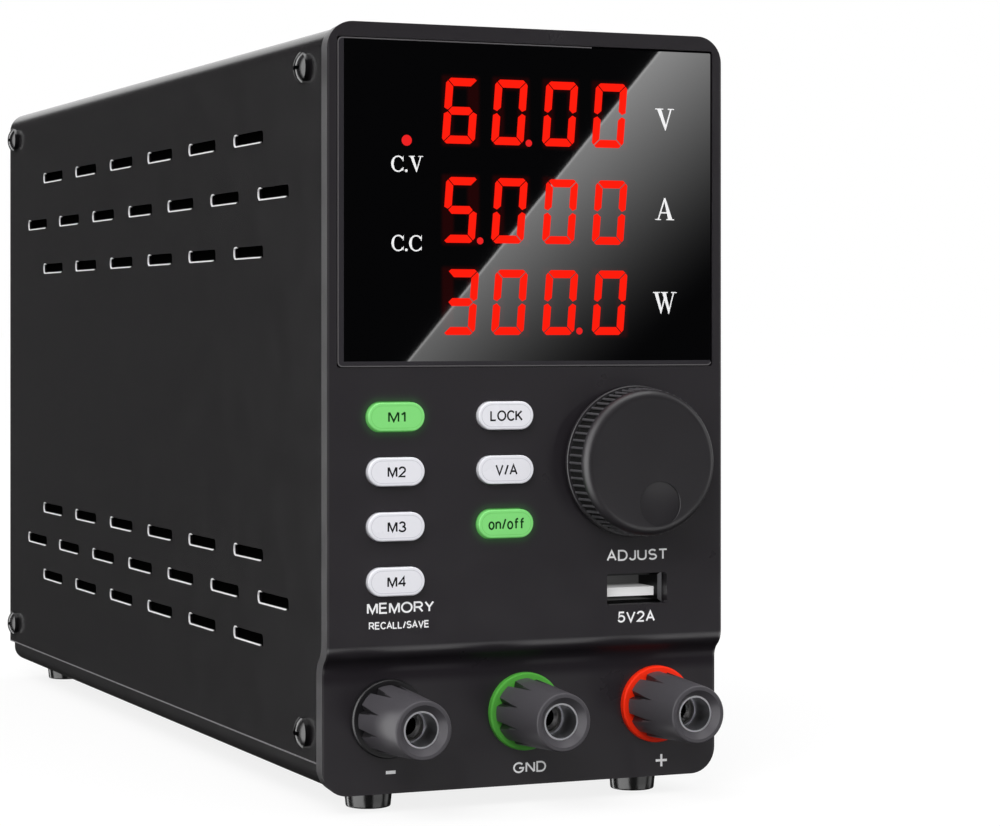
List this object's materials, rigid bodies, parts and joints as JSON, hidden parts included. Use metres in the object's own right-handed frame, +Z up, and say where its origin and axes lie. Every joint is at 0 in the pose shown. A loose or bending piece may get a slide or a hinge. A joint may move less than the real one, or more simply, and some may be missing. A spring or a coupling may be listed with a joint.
{
  "type": "programmable dc power supply",
  "caption": "Upright bench dc power supply: display, keys, adjusting knob, USB outlet and binding posts on the front, fan, mains inlet and rocker at the rear.",
  "frame": {"origin": "on the standing surface, under the middle of the whole supply", "axes": "+Z up, -Y out of the front panel, +X to the right as seen from the front"},
  "size_m": [0.0908, 0.2848, 0.159],
  "materials": {
    "bezel_plastic": "fine moulded texture",
    "window_acrylic": "polished",
    "cover_paint": "fine textured powder coat",
    "tray_paint": "fine textured powder coat",
    "foot_rubber": "matt",
    "screw_black": "black zinc",
    "screw_zinc": "zinc plated",
    "circuit_board": "solder mask",
    "digit_case": "moulded",
    "lamp_red": "clear tinted",
    "switch_plastic": "moulded",
    "key_white": "satin moulded",
    "key_green": "satin moulded, lit from behind",
    "plated_steel": "tin plated",
    "natural_plastic": "moulded",
    "turned_aluminium": "turned",
    "knob_plastic": "satin moulded",
    "tongue_plastic": "moulded",
    "ring_black": "moulded",
    "ring_green": "moulded",
    "ring_red": "moulded",
    "plated_brass": "nickel plated",
    "contact_metal": "nickel plated",
    "cap_plastic": "satin moulded",
    "fan_plastic": "glass filled",
    "inlet_plastic": "moulded",
    "rocker_plastic": "moulded",
    "selector_red": "moulded",
    "fuse_glass": "clear",
    "winding_tape": "polyester tape",
    "capacitor_sleeve": "shrink sleeve",
    "heatsink_aluminium": "extruded"
  },
  "bodies": {
    "case": {"front_bezel": "bezel_plastic", "display_window": "window_acrylic", "cover_shell": "cover_paint", "chassis_tray": "tray_paint", "rubber_feet": "foot_rubber", "cover_screws": "screw_black", "board_screws": "screw_zinc", "front_board": "circuit_board", "voltage_digits": "digit_case", "current_digits": "digit_case", "power_digits": "digit_case", "mode_lamps": "lamp_red", "tact_switches": "switch_plastic", "encoder_body": "plated_steel", "encoder_nut": "plated_steel", "usb_shell": "plated_steel", "usb_tongue": "tongue_plastic", "usb_board": "circuit_board", "post_nuts": "plated_brass", "fan_frame": "fan_plastic", "fan_screws": "screw_black", "mains_inlet": "inlet_plastic", "inlet_pins": "contact_metal", "switch_frame": "inlet_plastic", "selector_body": "inlet_plastic", "main_board": "circuit_board", "transformer": "winding_tape", "bulk_capacitors": "capacitor_sleeve", "heatsink": "heatsink_aluminium", "power_transistors": "switch_plastic", "negative_ring": "ring_black", "negative_stud": "plated_brass", "ground_ring": "ring_green", "ground_stud": "plated_brass", "positive_ring": "ring_red", "positive_stud": "plated_brass"},
    "m1_key": {"key_m1": "key_green"},
    "m2_key": {"key_m2": "key_white"},
    "m3_key": {"key_m3": "key_white"},
    "m4_key": {"key_m4": "key_white"},
    "lock_key": {"key_lock": "key_white"},
    "display_key": {"key_display": "key_white"},
    "output_key": {"key_output": "key_green"},
    "push_plunger": {"encoder_plunger": "natural_plastic"},
    "knob": {"adjust_knob": "knob_plastic", "encoder_shaft": "turned_aluminium"},
    "negative_clamp": {"negative_washer": "contact_metal"},
    "negative_post_cap": {"negative_cap": "cap_plastic", "negative_sleeve": "contact_metal"},
    "ground_clamp": {"ground_washer": "contact_metal"},
    "ground_post_cap": {"ground_cap": "cap_plastic", "ground_sleeve": "contact_metal"},
    "positive_clamp": {"positive_washer": "contact_metal"},
    "positive_post_cap": {"positive_cap": "cap_plastic", "positive_sleeve": "contact_metal"},
    "fan": {"fan_rotor": "fan_plastic"},
    "fuse_carrier": {"fuse_drawer": "inlet_plastic", "mains_fuse": "fuse_glass"},
    "mains_rocker": {"switch_rocker": "rocker_plastic"},
    "voltage_slider": {"selector_slider": "selector_red"}
  },
  "joints": [
    {"name": "m1_press", "type": "slide", "parent": "case", "child": "m1_key", "axis": [0, 1, 0], "range_m": [0, 0.0005], "stiffness_N_per_m": 1500},
    {"name": "m2_press", "type": "slide", "parent": "case", "child": "m2_key", "axis": [0, 1, 0], "range_m": [0, 0.0005], "stiffness_N_per_m": 1500},
    {"name": "m3_press", "type": "slide", "parent": "case", "child": "m3_key", "axis": [0, 1, 0], "range_m": [0, 0.0005], "stiffness_N_per_m": 1500},
    {"name": "m4_press", "type": "slide", "parent": "case", "child": "m4_key", "axis": [0, 1, 0], "range_m": [0, 0.0005], "stiffness_N_per_m": 1500},
    {"name": "lock_press", "type": "slide", "parent": "case", "child": "lock_key", "axis": [0, 1, 0], "range_m": [0, 0.0005], "stiffness_N_per_m": 1500},
    {"name": "display_press", "type": "slide", "parent": "case", "child": "display_key", "axis": [0, 1, 0], "range_m": [0, 0.0005], "stiffness_N_per_m": 1500},
    {"name": "output_press", "type": "slide", "parent": "case", "child": "output_key", "axis": [0, 1, 0], "range_m": [0, 0.0005], "stiffness_N_per_m": 1500},
    {"name": "knob_push", "type": "slide", "parent": "case", "child": "push_plunger", "axis": [0, 1, 0], "range_m": [0, 0.0005], "stiffness_N_per_m": 4000},
    {"name": "knob_turn", "type": "hinge", "parent": "push_plunger", "child": "knob", "pos_m": [0.0232, -0.12544, 0.0702], "axis": [0, 1, 0], "continuous": true},
    {"name": "negative_cap_rise", "type": "slide", "parent": "case", "child": "negative_clamp", "axis": [0, -1, 0], "range_m": [0, 0.005]},
    {"name": "negative_cap_turn", "type": "hinge", "parent": "negative_clamp", "child": "negative_post_cap", "pos_m": [-0.03, -0.12544, 0.0192], "axis": [0, -1, 0], "range_deg": [0, 1800]},
    {"name": "ground_cap_rise", "type": "slide", "parent": "case", "child": "ground_clamp", "axis": [0, -1, 0], "range_m": [0, 0.005]},
    {"name": "ground_cap_turn", "type": "hinge", "parent": "ground_clamp", "child": "ground_post_cap", "pos_m": [0, -0.12544, 0.0192], "axis": [0, -1, 0], "range_deg": [0, 1800]},
    {"name": "positive_cap_rise", "type": "slide", "parent": "case", "child": "positive_clamp", "axis": [0, -1, 0], "range_m": [0, 0.005]},
    {"name": "positive_cap_turn", "type": "hinge", "parent": "positive_clamp", "child": "positive_post_cap", "pos_m": [0.03, -0.12544, 0.0192], "axis": [0, -1, 0], "range_deg": [0, 1800]},
    {"name": "fan_spin", "type": "hinge", "parent": "case", "child": "fan", "pos_m": [0, 0.12756, 0.116], "axis": [0, 1, 0], "continuous": true},
    {"name": "fuse_drawer_slide", "type": "slide", "parent": "case", "child": "fuse_carrier", "axis": [0, 1, 0], "range_m": [0, 0.016]},
    {"name": "mains_switch", "type": "hinge", "parent": "case", "child": "mains_rocker", "pos_m": [-0.022, 0.13476, 0.058], "axis": [1, 0, 0], "range_deg": [0, 22]},
    {"name": "voltage_select", "type": "slide", "parent": "case", "child": "voltage_slider", "axis": [1, 0, 0], "range_m": [0, 0.005]}
  ],
  "couplings": [
    {"joint": "negative_cap_turn", "follows": "negative_cap_rise", "rad_per_m": 6283},
    {"joint": "ground_cap_turn", "follows": "ground_cap_rise", "rad_per_m": 6283},
    {"joint": "positive_cap_turn", "follows": "positive_cap_rise", "rad_per_m": 6283}
  ]
}
